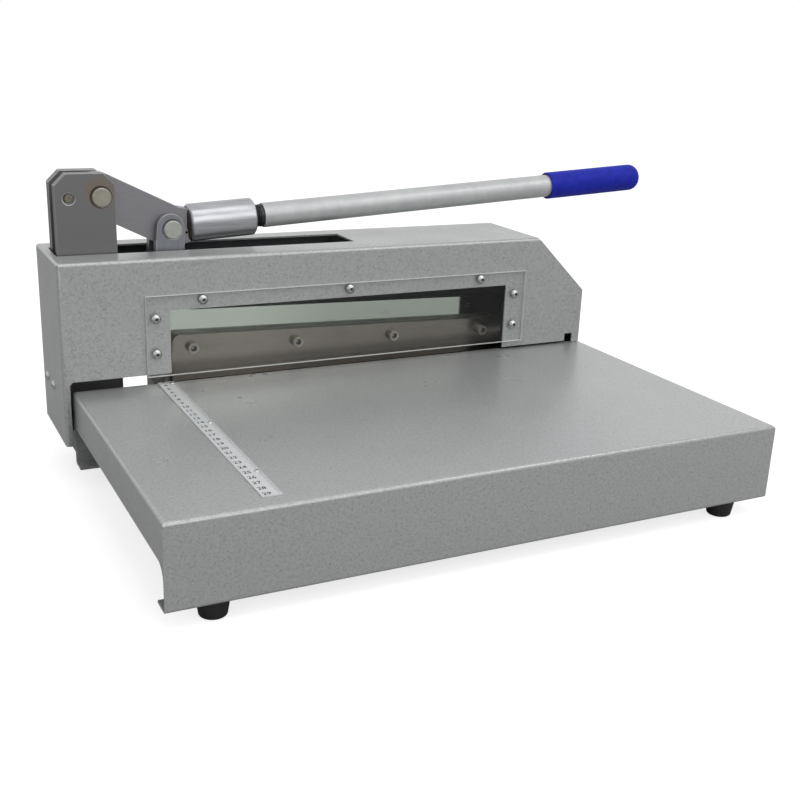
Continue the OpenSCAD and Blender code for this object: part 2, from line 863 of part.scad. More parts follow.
module guard() {
    color("azure", 0.35) place() difference() {
        translate([guard_x, house_y - guard_t, bed_top + feed_gap]) cube([guard_w, guard_t, guard_h]);
        for (p = guard_screw_points())
            hole_y(p[0], house_y - guard_t, p[1], small_screw_d, guard_t);
    }
}

module guard_screws() {
    color("gainsboro") place() for (p = guard_screw_points())
        translate([p[0], house_y - guard_t, p[1]]) facing_front()
            button_screw(small_screw_d, guard_t + house_t + 2);
}

// Pins and their retaining rings
main_ring_y = frame_y1 + seat_clear;
link_ring_y = link_y1 + link_t + seat_clear;

module main_pin() {
    color("tan") place() grooved_pin(main_x, main_z, pin_d, cut_y - pin_proud, main_ring_y);
}
module main_pin_ring() {
    color("dimgray") place() pin_ring(main_x, main_z, pin_d, main_ring_y);
}
module beam_pin() {
    color("tan") place() grooved_pin(pivot_x, pivot_z, pin_d, cut_y - pin_proud, main_ring_y);
}
module beam_pin_ring() {
    color("dimgray") place() pin_ring(pivot_x, pivot_z, pin_d, main_ring_y);
}
module link_pin() {
    color("tan") place() grooved_pin(link_x, link_z, pin_d, link_y - pin_proud, link_ring_y + side_clear);
}
module link_pin_ring() {
    color("dimgray") place() pin_ring(link_x, link_z, pin_d, link_ring_y + side_clear);
}

// Lever: flat plate from its eye on the main pin to the end of the socket
module lever_outline() {
    main = [main_x, main_z];
    link = [link_x, link_z];
    socket = [socket_x, socket_z];
    across = [-sin(handle_tilt), cos(handle_tilt)];
    eye_r = 0.54 * lever_w;
    low_w = 0.46 * lever_w;
    knee = socket + 0.4 * socket_d * across + [-8, 1.5];
    reach = norm(knee - main);
    turn = atan2(knee[1] - main[1], knee[0] - main[0]) + acos(eye_r / reach);
    translate(main) circle(eye_r);
    polygon([
        main - low_w * [sin(arm_drop), cos(arm_drop)],
        link - low_w * [sin(arm_drop), cos(arm_drop)] + [-2, 1],
        link - low_w * [0, 1] + [4, -1],
        socket - 0.45 * socket_d * across,
        socket + 0.4 * socket_d * across,
        knee,
        main + eye_r * [cos(turn), sin(turn)]
    ]);
}

// Oil hole beside the link pin
oil_hole_d = 2.6;
oil_hole_depth = 6;
oil_hole_out = 14.2;
oil_hole_drop = 4.2;

module lever_plate() {
    color("slategray") place() difference() {
        along_y(beam_y, lever_t) lever_outline();
        hole_y(main_x, beam_y, main_z, bush_d, lever_t);
        hole_y(link_x, beam_y, link_z, pin_d, lever_t);
        hole_y(link_x + oil_hole_out, beam_y, link_z - oil_hole_drop, oil_hole_d, oil_hole_depth);
    }
}

// Bush that turns on a pin of the frame
module bush(x, z) {
    along_y(beam_y, lever_t) translate([x, z]) difference() {
        circle(d = bush_d);
        circle(d = pin_d + 2 * run_clear);
    }
}

module lever_bush() { color("peru") place() bush(main_x, main_z); }
module beam_bush() { color("peru") place() bush(pivot_x, pivot_z); }

// Handle: carries a piece drawn along +Z to its place on the handle's axis
module on_handle(s) {
    translate([socket_x, lever_y, socket_z]) rotate([0, 90 - handle_tilt, 0]) translate([0, 0, s]) children();
}

module socket() {
    color("lightgray") place() on_handle(0) rotate_extrude() difference() {
        polygon([
            [0, 0],
            [socket_d / 2 - edge_chamfer, 0],
            [socket_d / 2, edge_chamfer],
            [socket_d / 2, socket_len - edge_chamfer],
            [socket_d / 2 - edge_chamfer, socket_len],
            [0, socket_len]
        ]);
        translate([0, socket_len - stud_in_socket])
            square([stud_d / 2 + seat_clear, stud_in_socket + cut_extra]);
    }
}

module handle_stud() {
    color("dimgray") place() on_handle(0) rotate_extrude() {
        translate([0, socket_len - stud_in_socket])
            square([stud_d / 2, stud_in_socket + collar_len + stud_in_tube]);
        translate([0, socket_len]) square([collar_d / 2, collar_len]);
    }
}

module handle_tube() {
    color("silver") place() on_handle(tube_start) rotate_extrude()
        translate([stud_d / 2 + seat_clear, 0])
            square([tube_wall - seat_clear, grip_end - grip_cap - tube_start]);
}

module grip() {
    color("royalblue") place() on_handle(grip_start) rotate_extrude() difference() {
        union() {
            square([grip_d / 2, grip_len - grip_dome_r]);
            square([grip_d / 2 - grip_dome_r, grip_len]);
            intersection() {
                translate([grip_d / 2 - grip_dome_r, grip_len - grip_dome_r]) circle(grip_dome_r);
                square([grip_d, grip_len]);
            }
        }
        translate([-cut_extra, -cut_extra])
            square([tube_d / 2 + seat_clear + cut_extra, grip_len - grip_cap + cut_extra]);
    }
}

// Links: rounded over the upper pin, with room for the lower pin to shift as the beam swings
module link(y) {
    color("slategray") place() difference() {
        along_y(y, link_t) tapered_bar(
            [link_x - link_shift, link_z + link_shift], link_top_r,
            [low_x - link_shift, low_z], link_low_r
        );
        rod_y(link_x, y - cut_extra, link_z, pin_d + 2 * run_clear, link_t + 2 * cut_extra);
        for (dx = [-slot_room_x, slot_room_x])
            rod_y(low_x + dx, y - cut_extra, low_z, low_pin_d + 2 * slot_room_z, link_t + 2 * cut_extra);
        translate([low_x - slot_room_x, y - cut_extra, low_z - low_pin_d / 2 - slot_room_z])
            cube([2 * slot_room_x, link_t + 2 * cut_extra, low_pin_d + 2 * slot_room_z]);
    }
}

module front_link() { link(link_y); }
module rear_link() { link(link_y1); }

// Blade beam and upper blade, drawn level about the pivot
module tilted() {
    translate([pivot_x, pivot_z]) rotate(-rest_tilt) children();
}

module beam_outline() {
    lug_foot = 20;
    circle(beam_h / 2);
    translate([blade_u - 3.5, -beam_h / 2]) square([3.5 - blade_u, beam_h]);
    translate([arm_u, arm_low]) square([blade_u - arm_u, beam_h / 2 - arm_low]);
    translate(low_pin) circle(lug_r);
    polygon([
        low_pin - [lug_r, 0],
        [low_pin[0] - lug_foot, beam_h / 2 - cut_extra],
        [low_pin[0] + lug_foot, beam_h / 2 - cut_extra],
        low_pin + [lug_r, 0]
    ]);
}

function blade_screw_points() = [
    for (i = [0:3]) from_beam([blade_u + blade_screw_first + i * blade_pitch, blade_top - blade_screw_low])
];
blade_screw_thread = 12;

module blade_beam() {
    color("silver") place() difference() {
        along_y(beam_y, lever_t) tilted() beam_outline();
        hole_y(pivot_x, beam_y, pivot_z, bush_d, lever_t);
        hole_y(low_x, beam_y, low_z, low_pin_d, lever_t);
        for (p = blade_screw_points())
            hole_y(p[0], beam_y, p[1], blade_screw_d, blade_screw_thread);
    }
}

module blade_outline() {
    r = blade_corner_r;
    difference() {
        polygon([[blade_u, blade_top], [blade_u1, blade_top], [blade_u1, edge_v1], [blade_u, edge_v]]);
        translate([blade_u, blade_top]) corner_cut(r);
        translate([blade_u1, blade_top]) mirror([1, 0]) corner_cut(r);
    }
}

// What is taken off a square upper left corner at the origin to round it
module corner_cut(r) {
    difference() {
        translate([-cut_extra, -r]) square([r + cut_extra, r + cut_extra]);
        translate([r, -r]) circle(r);
    }
}

// Relief ground on the back of the cutting edge
module blade_bevel() {
    edge = from_beam([blade_u, edge_v]);
    edge1 = from_beam([blade_u1, edge_v1]);
    slope = atan2(edge1[1] - edge[1], edge1[0] - edge[0]);
    translate([edge[0], 0, edge[1]]) rotate([0, -slope, 0])
        along_x(-2 * cut_extra, norm(edge1 - edge) + 4 * cut_extra)
            polygon([
                [blade_y + blade_t / 3, -cut_extra],
                [blade_y + blade_t / 3, 0],
                [blade_y + blade_t + cut_extra, bevel_h],
                [blade_y + blade_t + cut_extra, -cut_extra]
            ]);
}

module upper_blade() {
    color("gray") place() difference() {
        along_y(blade_y, blade_t) tilted() blade_outline();
        for (p = blade_screw_points())
            hole_y(p[0], blade_y, p[1], blade_screw_d, blade_t);
        blade_bevel();
    }
}

module blade_screws() {
    color("dimgray") place() for (p = blade_screw_points())
        translate([p[0], blade_y, p[1]]) facing_front()
            cap_screw(blade_screw_d, blade_t + blade_screw_thread);
}

module low_link_pin() {
    color("tan") place() difference() {
        rod_y(low_x, link_y - 2 * ring_t, low_z, low_pin_d, link_y1 + link_t - link_y + 4 * ring_t);
        for (y = low_ring_ys()) translate([low_x, y - seat_clear, low_z]) rotate([-90, 0, 0]) difference() {
            cylinder(d = low_pin_d + 2 * cut_extra, h = ring_t + 2 * seat_clear);
            cylinder(d = low_pin_d - 2 * ring_sink, h = ring_t + 2 * seat_clear);
        }
    }
}

low_ring_wall = 4.5;
function low_ring_ys() = [link_y - ring_t - side_clear, link_y1 + link_t + side_clear];

module low_pin_rings() {
    color("dimgray") place() for (y = low_ring_ys())
        along_y(y, ring_t) translate([low_x, low_z]) difference() {
            circle(d = low_pin_d + 2 * low_ring_wall);
            circle(d = low_pin_d - 2 * ring_sink + 2 * seat_clear);
        }
}

bed();
scale_rule();
rule_screws();
front_left_foot();
front_right_foot();
rear_left_foot();
rear_right_foot();
foot_screws();
base_beam();
bed_bolts();
lower_blade();
lower_blade_screws();
front_cheek();
rear_cheek();
cheek_block();
cheek_spacer();
spacer_bolt();
front_bracket();
rear_bracket();
bracket_block();
tie_bar();
frame_bolts();
left_mount_bar();
right_mount_bar();
housing();
housing_screws();
guard();
guard_screws();
main_pin();
main_pin_ring();
beam_pin();
beam_pin_ring();
lever_plate();
lever_bush();
socket();
handle_stud();
handle_tube();
grip();
link_pin();
link_pin_ring();
front_link();
rear_link();
blade_beam();
beam_bush();
upper_blade();
blade_screws();
low_link_pin();
low_pin_rings();
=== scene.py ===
import random
from math import cos, pi, radians, sin

import bmesh
import bpy
from mathutils import Matrix, Vector


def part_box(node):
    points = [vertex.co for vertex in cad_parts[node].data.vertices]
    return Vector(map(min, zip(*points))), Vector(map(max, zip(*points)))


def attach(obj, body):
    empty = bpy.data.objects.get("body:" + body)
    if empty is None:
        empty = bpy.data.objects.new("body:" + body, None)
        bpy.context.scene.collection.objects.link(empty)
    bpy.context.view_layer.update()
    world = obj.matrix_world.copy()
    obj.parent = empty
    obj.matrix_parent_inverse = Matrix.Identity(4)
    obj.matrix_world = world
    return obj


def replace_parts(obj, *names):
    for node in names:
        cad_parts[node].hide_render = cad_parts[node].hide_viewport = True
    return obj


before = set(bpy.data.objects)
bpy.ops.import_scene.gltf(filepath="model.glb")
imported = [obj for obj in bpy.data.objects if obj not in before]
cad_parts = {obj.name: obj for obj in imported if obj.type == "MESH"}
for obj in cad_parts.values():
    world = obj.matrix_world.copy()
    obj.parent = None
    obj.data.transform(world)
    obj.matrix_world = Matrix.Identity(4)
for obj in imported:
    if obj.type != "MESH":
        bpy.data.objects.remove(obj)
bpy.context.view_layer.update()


# Bed: one sheet of 2 mm steel with its front, back and sides folded down and two flanges turned in below.
# It is sprayed with silver-grey hammered paint, and everything else is bolted or screwed to it.
def linear(colour):
    """sRGB hex to the linear colour that a shader takes."""
    parts = [int(colour[i:i + 2], 16) / 255 for i in (1, 3, 5)]
    return tuple(c / 12.92 if c <= 0.04045 else ((c + 0.055) / 1.055) ** 2.4 for c in parts) + (1,)


def add(tree, kind, inputs, **settings):
    """One shader node: a socket given as an input is linked, anything else is set."""
    node = tree.nodes.new("ShaderNode" + kind)
    for name, value in settings.items():
        setattr(node, name, value)
    for name, value in inputs.items():
        if isinstance(value, bpy.types.NodeSocket):
            tree.links.new(value, node.inputs[name])
        else:
            node.inputs[name].default_value = value
    return node


def blank(name):
    """An empty material and its node tree."""
    finish = bpy.data.materials.new(name)
    finish.use_nodes = True
    finish.node_tree.nodes.clear()
    return finish, finish.node_tree


def cloud(tree, place, size, detail):
    """Soft random clouds, of about a size in metres."""
    return add(tree, "TexNoise", {"Vector": place, "Scale": 1 / size, "Detail": detail}).outputs["Fac"]


def tones(tree, pattern, *stops):
    """Colours a pattern by stops, each a position and a hex colour."""
    ramp = add(tree, "ValToRGB", {"Fac": pattern})
    marks = ramp.color_ramp.elements
    while len(marks) < len(stops):
        marks.new(0.5)
    for mark, (position, colour) in zip(marks, stops):
        mark.position = position
        mark.color = linear(colour)
    return ramp.outputs["Color"]


def spread(tree, value, low, high, start=0.0, stop=1.0):
    """Carries a value between start and stop over to the range from low to high."""
    return add(tree, "MapRange", {"Value": value, "From Min": start, "From Max": stop,
                                  "To Min": low, "To Max": high}).outputs["Result"]


def coated(tree, inputs):
    """A material's one shader, joined to its output."""
    shader = add(tree, "BsdfPrincipled", inputs)
    add(tree, "OutputMaterial", {"Surface": shader.outputs["BSDF"]})


def finished(form, name, body, finish, crease=38):
    """Makes a piece of a bmesh: smooth faces, creases kept, flat faces shaded flat, riding on its body."""
    mesh = bpy.data.meshes.new(name)
    for face in form.faces:
        face.smooth = True
    form.to_mesh(mesh)
    form.free()
    if "custom_normal" in mesh.attributes:
        mesh.attributes.remove(mesh.attributes["custom_normal"])
    mesh.set_sharp_from_angle(angle=radians(crease))
    mesh.materials.append(finish)
    piece = bpy.data.objects.new(name, mesh)
    bpy.context.scene.collection.objects.link(piece)
    even = piece.modifiers.new("even_shading", "WEIGHTED_NORMAL")
    even.keep_sharp = True
    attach(piece, body)
    return piece


def merged(node):
    """A bmesh of a CAD node with its triangles joined up and its flat faces made whole."""
    form = bmesh.new()
    form.from_mesh(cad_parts[node].data)
    bmesh.ops.remove_doubles(form, verts=form.verts, dist=2e-6)
    bmesh.ops.dissolve_limit(form, angle_limit=radians(0.5), verts=form.verts, edges=form.edges)
    return form


def broken(form, ease, least=30):
    """Breaks the sharp edges with small round bevels, as a file or a tumbler does."""
    sharp = [e for e in form.edges if len(e.link_faces) == 2 and e.calc_face_angle(0) > radians(least)]
    return bmesh.ops.bevel(form, geom=sharp, offset=ease, offset_type="OFFSET", segments=2, profile=0.5,
                           affect="EDGES", material=-1, clamp_overlap=True)["faces"]


def eased(body, finish, ease, *nodes):
    """CAD nodes in their own shape, with broken edges and a finish."""
    for node in nodes:
        form = merged(node)
        broken(form, ease)
        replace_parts(finished(form, node + "_eased", body, finish), node)


# Hammered paint: aluminium flake in a slow lacquer that draws up into low domes just under 2 mm wide.
# The eye sees a fine pale mottle, dark veins where the valleys run deep, and a soft broken sheen.
hammered_paint, tree = blank("hammered_paint")
place = add(tree, "TexCoord", {}).outputs["Object"]
dome_size = 0.0018
pull_size, pull_reach = 0.006, 0.0024
drift = add(tree, "TexNoise", {"Vector": place, "Scale": 1 / pull_size, "Detail": 2})
drift = add(tree, "VectorMath", {0: drift.outputs["Color"], 1: (0.5, 0.5, 0.5)}, operation="SUBTRACT")
drift = add(tree, "VectorMath", {0: drift.outputs[0], "Scale": pull_reach}, operation="SCALE")
drawn = add(tree, "VectorMath", {0: place, 1: drift.outputs[0]}, operation="ADD")
dome = add(tree, "TexVoronoi", {"Vector": drawn.outputs[0], "Scale": 1 / dome_size}, feature="DISTANCE_TO_EDGE")
valley = spread(tree, dome.outputs["Distance"], 1.0, 0.0, 0.02, 0.2)
patch = spread(tree, cloud(tree, place, 0.0021, 2), 0.0, 1.0, 0.5, 0.62)
vein = add(tree, "Math", {0: valley, 1: patch}, operation="MULTIPLY")
vein = add(tree, "Math", {0: vein.outputs[0], 1: 0.36}, operation="MULTIPLY")
flake = cloud(tree, drawn.outputs[0], 0.0017, 2)
pale = tones(tree, flake, (0.3, "#9D9F9F"), (0.7, "#AAACAB"))
colour = add(tree, "Mix", {0: vein.outputs[0], 6: pale, 7: linear("#5E5F5C")}, data_type="RGBA")
mottle = cloud(tree, place, 0.05, 3)
gloss = spread(tree, mottle, 0.27, 0.34, 0.3, 0.7)
relief = add(tree, "Bump", {"Height": dome.outputs["Distance"], "Strength": 0.25, "Distance": 0.00018})
peel = add(tree, "Bump", {"Height": flake, "Strength": 0.2, "Distance": 0.00012,
                          "Normal": relief.outputs["Normal"]})
coated(tree, {"Base Color": colour.outputs[2], "Metallic": 0.35,
              "Roughness": gloss, "Normal": peel.outputs["Normal"]})

eased("frame", hammered_paint, 0.0003, "bed")


# Feet: four tapered rubber bumpers, each pulled up by a plated screw sunk in its middle.
# Two stand under the bed's front flange and two under the frame plates.
# Moulded black rubber: dull, nearly black, with a faint grey bloom and a fine pebble.
foot_rubber, tree = blank("moulded_black_rubber")
place = add(tree, "TexCoord", {}).outputs["Object"]
bloom = cloud(tree, place, 0.006, 4)
shade = tones(tree, bloom, (0.3, "#080808"), (0.75, "#161617"))
pore = cloud(tree, place, 0.0008, 2)
skin = add(tree, "Bump", {"Height": pore, "Strength": 0.3, "Distance": 0.0002})
coated(tree, {"Base Color": shade, "Roughness": 0.6, "Normal": skin.outputs["Normal"]})
eased("frame", foot_rubber, 0.0003, "front_left_foot", "front_right_foot", "rear_left_foot", "rear_right_foot")

# Bright nickel plate on steel: clear highlights, slightly clouded by handling.
plated_steel, tree = blank("bright_nickel_plate")
place = add(tree, "TexCoord", {}).outputs["Object"]
haze = cloud(tree, place, 0.002, 3)
gloss = spread(tree, haze, 0.24, 0.32, 0.3, 0.7)
coated(tree, {"Base Color": linear("#B2B4B3"), "Metallic": 1.0, "Roughness": gloss})
eased("frame", plated_steel, 0.0002, "foot_screws")


# Rule: a thin rolled strip, screwed down along its right edge by three small button heads.
# Its numbers count centimetres from the cut and its fine marks millimetres, etched and filled with black.
def strands(tree, place, sizes, detail, turn=0):
    """Noise drawn out into strands, by its size in metres along each axis, turned about Y."""
    drawn = add(tree, "Mapping", {"Vector": place, "Rotation": (0, turn, 0), "Scale": [1 / size for size in sizes]})
    return add(tree, "TexNoise", {"Vector": drawn.outputs["Vector"], "Scale": 1.0, "Detail": detail}).outputs["Fac"]


# Satin anodised aluminium: pale, brushed along its length, with a slightly broken sheen.
rule_metal, tree = blank("satin_anodised_aluminium")
place = add(tree, "TexCoord", {}).outputs["Object"]
line = strands(tree, place, (0.0005, 0.03, 0.0005), 2)
shade = tones(tree, line, (0.3, "#C3C5C7"), (0.7, "#D4D6D7"))
gloss = spread(tree, line, 0.34, 0.5)
coated(tree, {"Base Color": shade, "Metallic": 0.3, "Roughness": gloss})
eased("frame", rule_metal, 0.00015, "scale_rule")


def socketed(node, body, finish, ease, axis, hex_r, lit=0.0):
    """Screws along an axis, with painted shade in their hexagon sockets; a socket's floor can be lit out to a radius.
    """
    form = merged(node)
    broken(form, ease)
    floors = []
    waiting = set(form.faces)
    while waiting:
        screw, edge_on = [], [waiting.pop()]
        while edge_on:
            face = edge_on.pop()
            screw.append(face)
            near = {other for edge in face.edges for other in edge.link_faces} & waiting
            waiting -= near
            edge_on.extend(near)
        spots = [vert.co for face in screw for vert in face.verts]
        low = Vector([min(spot[i] for spot in spots) for i in range(3)])
        high = Vector([max(spot[i] for spot in spots) for i in range(3)])
        for face in screw:
            spot = face.calc_center_median()
            sunk = min(spot[axis] - low[axis], high[axis] - spot[axis]) > ease
            out = spot - (low + high) / 2
            out[axis] = 0
            # Faces sunk within the hexagon take the painted shade.
            face.material_index = 1 if sunk and out.length < hex_r else 0
            if face.material_index and out.length < 0.2 * hex_r:
                floors.append(face)
    if lit:
        bmesh.ops.inset_individual(form, faces=floors, thickness=hex_r - lit)
        for face in floors:
            face.material_index = 0
    piece = finished(form, node + "_eased", body, finish)
    piece.data.materials.append(socket_shade)
    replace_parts(piece, node)


# Painted shade in a socket: dark grey and dull, standing in for the shade deep in the hexagon.
socket_shade, tree = blank("painted_socket_shade")
coated(tree, {"Base Color": linear("#45474A"), "Metallic": 0.4, "Roughness": 0.5})
socketed("rule_screws", "frame", plated_steel, 0.00012, 2, 0.00085)


def numeral(text, height):
    """Flat digits a hair thick, as a mesh centred on the origin and read from -Y."""
    digit_share, half_thick, bolder = 0.7, 0.00002, 0.0001
    letters = bpy.data.curves.new("numeral", "FONT")
    letters.body = text
    letters.size = height / digit_share
    letters.align_x = "CENTER"
    letters.align_y = "CENTER"
    letters.extrude = half_thick
    letters.offset = bolder
    letters.resolution_u = 2
    drawn = bpy.data.objects.new("numeral", letters)
    mesh = bpy.data.meshes.new_from_object(drawn)
    bpy.data.objects.remove(drawn)
    bpy.data.curves.remove(letters)
    return mesh


# Black enamel wiped into the etching: matt, a little uneven.
etch_black, tree = blank("black_filled_etching")
place = add(tree, "TexCoord", {}).outputs["Object"]
fill = cloud(tree, place, 0.001, 2)
shade = tones(tree, fill, (0.3, "#1B1C1E"), (0.8, "#3A3B3D"))
coated(tree, {"Base Color": shade, "Roughness": 0.6})

rule_low, rule_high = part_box("scale_rule")
cut_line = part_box("lower_blade")[1][1]
etch_level = rule_high[2] + 0.00001
digit_height, digit_inset = 0.0044, 0.0045
tick_width, tick_thick, tick_margin = 0.00014, 0.00004, 0.0003
long_tick, half_tick, short_tick = 0.0046, 0.0034, 0.0022
marks = bmesh.new()
for centimetre in range(3, 30):
    digits = numeral(str(centimetre), digit_height)
    digits.transform(Matrix.Translation((rule_low[0] + digit_inset, cut_line - 0.01 * centimetre, etch_level)))
    marks.from_mesh(digits)
    bpy.data.meshes.remove(digits)
for millimetre in range(31, 292):
    reach = long_tick if millimetre % 10 == 0 else half_tick if millimetre % 5 == 0 else short_tick
    middle = (rule_high[0] - tick_margin - reach / 2, cut_line - 0.001 * millimetre, etch_level)
    bmesh.ops.create_cube(marks, size=1.0, matrix=Matrix.Translation(middle)
                          @ Matrix.Diagonal((reach, tick_width, tick_thick, 1)))
rule_marks = finished(marks, "rule_marks", "frame", etch_black)


# Frame: a bar behind the bed, pairs of thick plates at both ends, blocks, a tie bar and two mounting bars.
# They are sawn or flame-cut from plain steel, bolted together and painted; little of them shows, and that little lies
# in shade.
# Dark grey paint, darkened to nearly black as painted shade; satin, with a slight orange peel and long soft waves from
# the plate below.
frame_paint_and_shade, tree = blank("dark_frame_paint_and_painted_shade")
place = add(tree, "TexCoord", {}).outputs["Object"]
wave = cloud(tree, place, 0.02, 3)
shade = tones(tree, wave, (0.3, "#232427"), (0.7, "#2C2D30"))
peel = cloud(tree, place, 0.0018, 2)
skin = add(tree, "Bump", {"Height": peel, "Strength": 0.15, "Distance": 0.0002})
coated(tree, {"Base Color": shade, "Metallic": 0.3, "Roughness": 0.42, "Normal": skin.outputs["Normal"]})
eased("frame", frame_paint_and_shade, 0.0004, "base_beam", "cheek_block", "front_bracket", "rear_bracket", "bracket_block",
      "tie_bar", "left_mount_bar", "right_mount_bar")

# Blackened steel: chemically blacked and oiled, dark with a soft grey sheen.
black_steel, tree = blank("blackened_steel")
place = add(tree, "TexCoord", {}).outputs["Object"]
haze = cloud(tree, place, 0.003, 3)
shade = tones(tree, haze, (0.3, "#2C2D2F"), (0.75, "#454648"))
gloss = spread(tree, haze, 0.3, 0.5)
coated(tree, {"Base Color": shade, "Metallic": 0.9, "Roughness": gloss})
eased("frame", black_steel, 0.0002, "bed_bolts", "frame_bolts", "lower_blade_screws")


# Lower blade: a bar of hardened steel let into the top of the base bar and screwed from below.
# Its top is ground level with the bed, and the sheet slides over it to the cut.
# Tool steel made a dark brown as painted shade, since the blade sits in shadow under the housing, over fine grinding
# lines.
lower_blade_shaded_steel, tree = blank("tool_steel_with_painted_shade")
place = add(tree, "TexCoord", {}).outputs["Object"]
line = strands(tree, place, (0.06, 0.0006, 0.0006), 3)
shade = tones(tree, line, (0.3, "#2C2A26"), (0.7, "#37342F"))
coated(tree, {"Base Color": shade, "Metallic": 1.0, "Roughness": 0.24})
eased("frame", lower_blade_shaded_steel, 0.0002, "lower_blade")


# Cheeks: two 10 mm plates that carry the lever, held apart by a tube and a long bolt.
# Cut from steel plate, ground flat, phosphated and oiled; the main pin runs through both.
# Phosphated plate: dark, slightly violet grey with an upright grain and a rusty oil stain over the pin. A painted
# shadow rings the pin's gap on its upper left, and a painted highlight rings the bolt's bore, set a little low.
def from_axis(tree, place, pin, right, rise):
    """Distance from a pin's axis, moved a little to the right and up; it sets old oil, painted shadows and painted
    highlights off centre.
    """
    low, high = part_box(pin)
    about = add(tree, "Mapping", {"Vector": place, "Location": (
        -(low[0] + high[0]) / 2 - right, 0, -(low[2] + high[2]) / 2 - rise)})
    about = add(tree, "VectorMath", {0: about.outputs["Vector"], 1: (1, 0, 1)}, operation="MULTIPLY")
    return add(tree, "VectorMath", {0: about.outputs[0]}, operation="LENGTH").outputs["Value"]


def worn(body, finish, ease, *nodes):
    """Plates in their CAD shape, whose broken edges take a bright painted highlight."""
    for node in nodes:
        form = merged(node)
        for face in broken(form, ease):
            face.material_index = 1
        piece = finished(form, node + "_eased", body, finish)
        piece.data.materials.append(edge_highlight)
        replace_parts(piece, node)


# Painted edge highlight: a bright bare-steel colour on the broken edges, standing in for the light they catch.
edge_highlight, tree = blank("painted_bright_edge_highlight")
coated(tree, {"Base Color": linear("#A9A8AA"), "Metallic": 0.8, "Roughness": 0.35})

cheek_plate, tree = blank("phosphated_plate")
stain_in, stain_out = 0.008, 0.0165
shadow_in, shadow_out = 0.0088, 0.0097
rim_in, rim_full, rim_fade, rim_out = 0.0044, 0.0048, 0.0052, 0.0056
place = add(tree, "TexCoord", {}).outputs["Object"]
grain = strands(tree, place, (0.001, 0.001, 0.03), 3)
wave = cloud(tree, place, 0.03, 2)
tint = add(tree, "Math", {0: grain, 1: wave}, operation="ADD")
shade = tones(tree, tint.outputs[0], (0.35, "#605F60"), (0.75, "#717071"))
creep = spread(tree, cloud(tree, place, 0.008, 3), -0.006, 0.006)
edge = add(tree, "Math", {0: from_axis(tree, place, "main_pin", -0.001, 0.004), 1: creep}, operation="ADD")
stain = add(tree, "MapRange", {"Value": edge.outputs[0], "From Min": stain_in, "From Max": stain_out,
                               "To Min": 0.45, "To Max": 0.0}, interpolation_type="SMOOTHSTEP")
rusty = add(tree, "Mix", {0: stain.outputs["Result"], 6: shade, 7: linear("#7C6A4E")}, data_type="RGBA")
# Painted shadow: a dark ring round the main pin's gap, centred a little up and to the left.
ring = spread(tree, from_axis(tree, place, "main_pin", -0.0007, 0.0004), 0.85, 0.0, shadow_in, shadow_out)
dark = add(tree, "Mix", {0: ring, 6: rusty.outputs[2], 7: linear("#1D1A18")}, data_type="RGBA")
# Painted highlight: a bright ring round the bolt's bore, centred a little low.
sink = from_axis(tree, place, "spacer_bolt", 0, -0.0006)
rim = spread(tree, sink, 0.0, 1.0, rim_in, rim_full)
far = spread(tree, sink, 1.0, 0.0, rim_fade, rim_out)
rim = add(tree, "Math", {0: rim, 1: far}, operation="MULTIPLY")
colour = add(tree, "Mix", {0: rim.outputs[0], 6: dark.outputs[2], 7: linear("#B9BABB")}, data_type="RGBA")
gloss = spread(tree, grain, 0.36, 0.5)
coated(tree, {"Base Color": colour.outputs[2], "Metallic": 0.7, "Roughness": gloss})
worn("frame", cheek_plate, 0.0005, "front_cheek", "rear_cheek")
eased("frame", plated_steel, 0.0002, "cheek_spacer")

# Oiled thread end: the bolt's tip is a dull olive brown, wet with old oil.
oiled_steel, tree = blank("oiled_steel")
place = add(tree, "TexCoord", {}).outputs["Object"]
haze = cloud(tree, place, 0.002, 3)
shade = tones(tree, haze, (0.3, "#646151"), (0.7, "#86826F"))
coated(tree, {"Base Color": shade, "Metallic": 0.7, "Roughness": 0.35})
eased("frame", oiled_steel, 0.0008, "spacer_bolt")


# Pins: turned steel shafts with chamfered ends, each held by a ring in a groove at the back.
# The main pin carries the lever between the cheeks, and the other the blade beam between the brackets.
# Yellow zinc plate: a flat champagne colour, faintly clouded.
yellow_zinc, tree = blank("yellow_zinc_plate")
place = add(tree, "TexCoord", {}).outputs["Object"]
haze = cloud(tree, place, 0.005, 4)
shade = tones(tree, haze, (0.3, "#8C897D"), (0.7, "#9C998C"))
coated(tree, {"Base Color": shade, "Metallic": 0.6, "Roughness": 0.42})
eased("frame", yellow_zinc, 0.0002, "main_pin", "beam_pin")
eased("frame", black_steel, 0.0001, "main_pin_ring", "beam_pin_ring")


# Blade beam: a bar of steel that turns on the right pin, with a lug at the left for the links.
# Its face is ground almost bright and carries the upper blade on four cap screws.
# Fine ground steel: a pale greenish mirror, softened by short grinding lines.
ground_steel, tree = blank("fine_ground_steel")
place = add(tree, "TexCoord", {}).outputs["Object"]
line = strands(tree, place, (0.08, 0.0008, 0.0008), 3)
gloss = spread(tree, line, 0.06, 0.1, 0.3, 0.7)
coated(tree, {"Base Color": linear("#B3BBB1"), "Metallic": 1.0, "Roughness": gloss})
eased("beam", ground_steel, 0.0004, "blade_beam")

# Oiled cap screws: mid grey, browned a little, soft highlights.
cap_steel, tree = blank("oiled_cap_screw")
place = add(tree, "TexCoord", {}).outputs["Object"]
haze = cloud(tree, place, 0.002, 3)
shade = tones(tree, haze, (0.3, "#8A857D"), (0.7, "#A09B92"))
coated(tree, {"Base Color": shade, "Metallic": 0.6, "Roughness": 0.45})
socketed("blade_screws", "beam", cap_steel, 0.0003, 1, 0.0026, lit=0.0012)

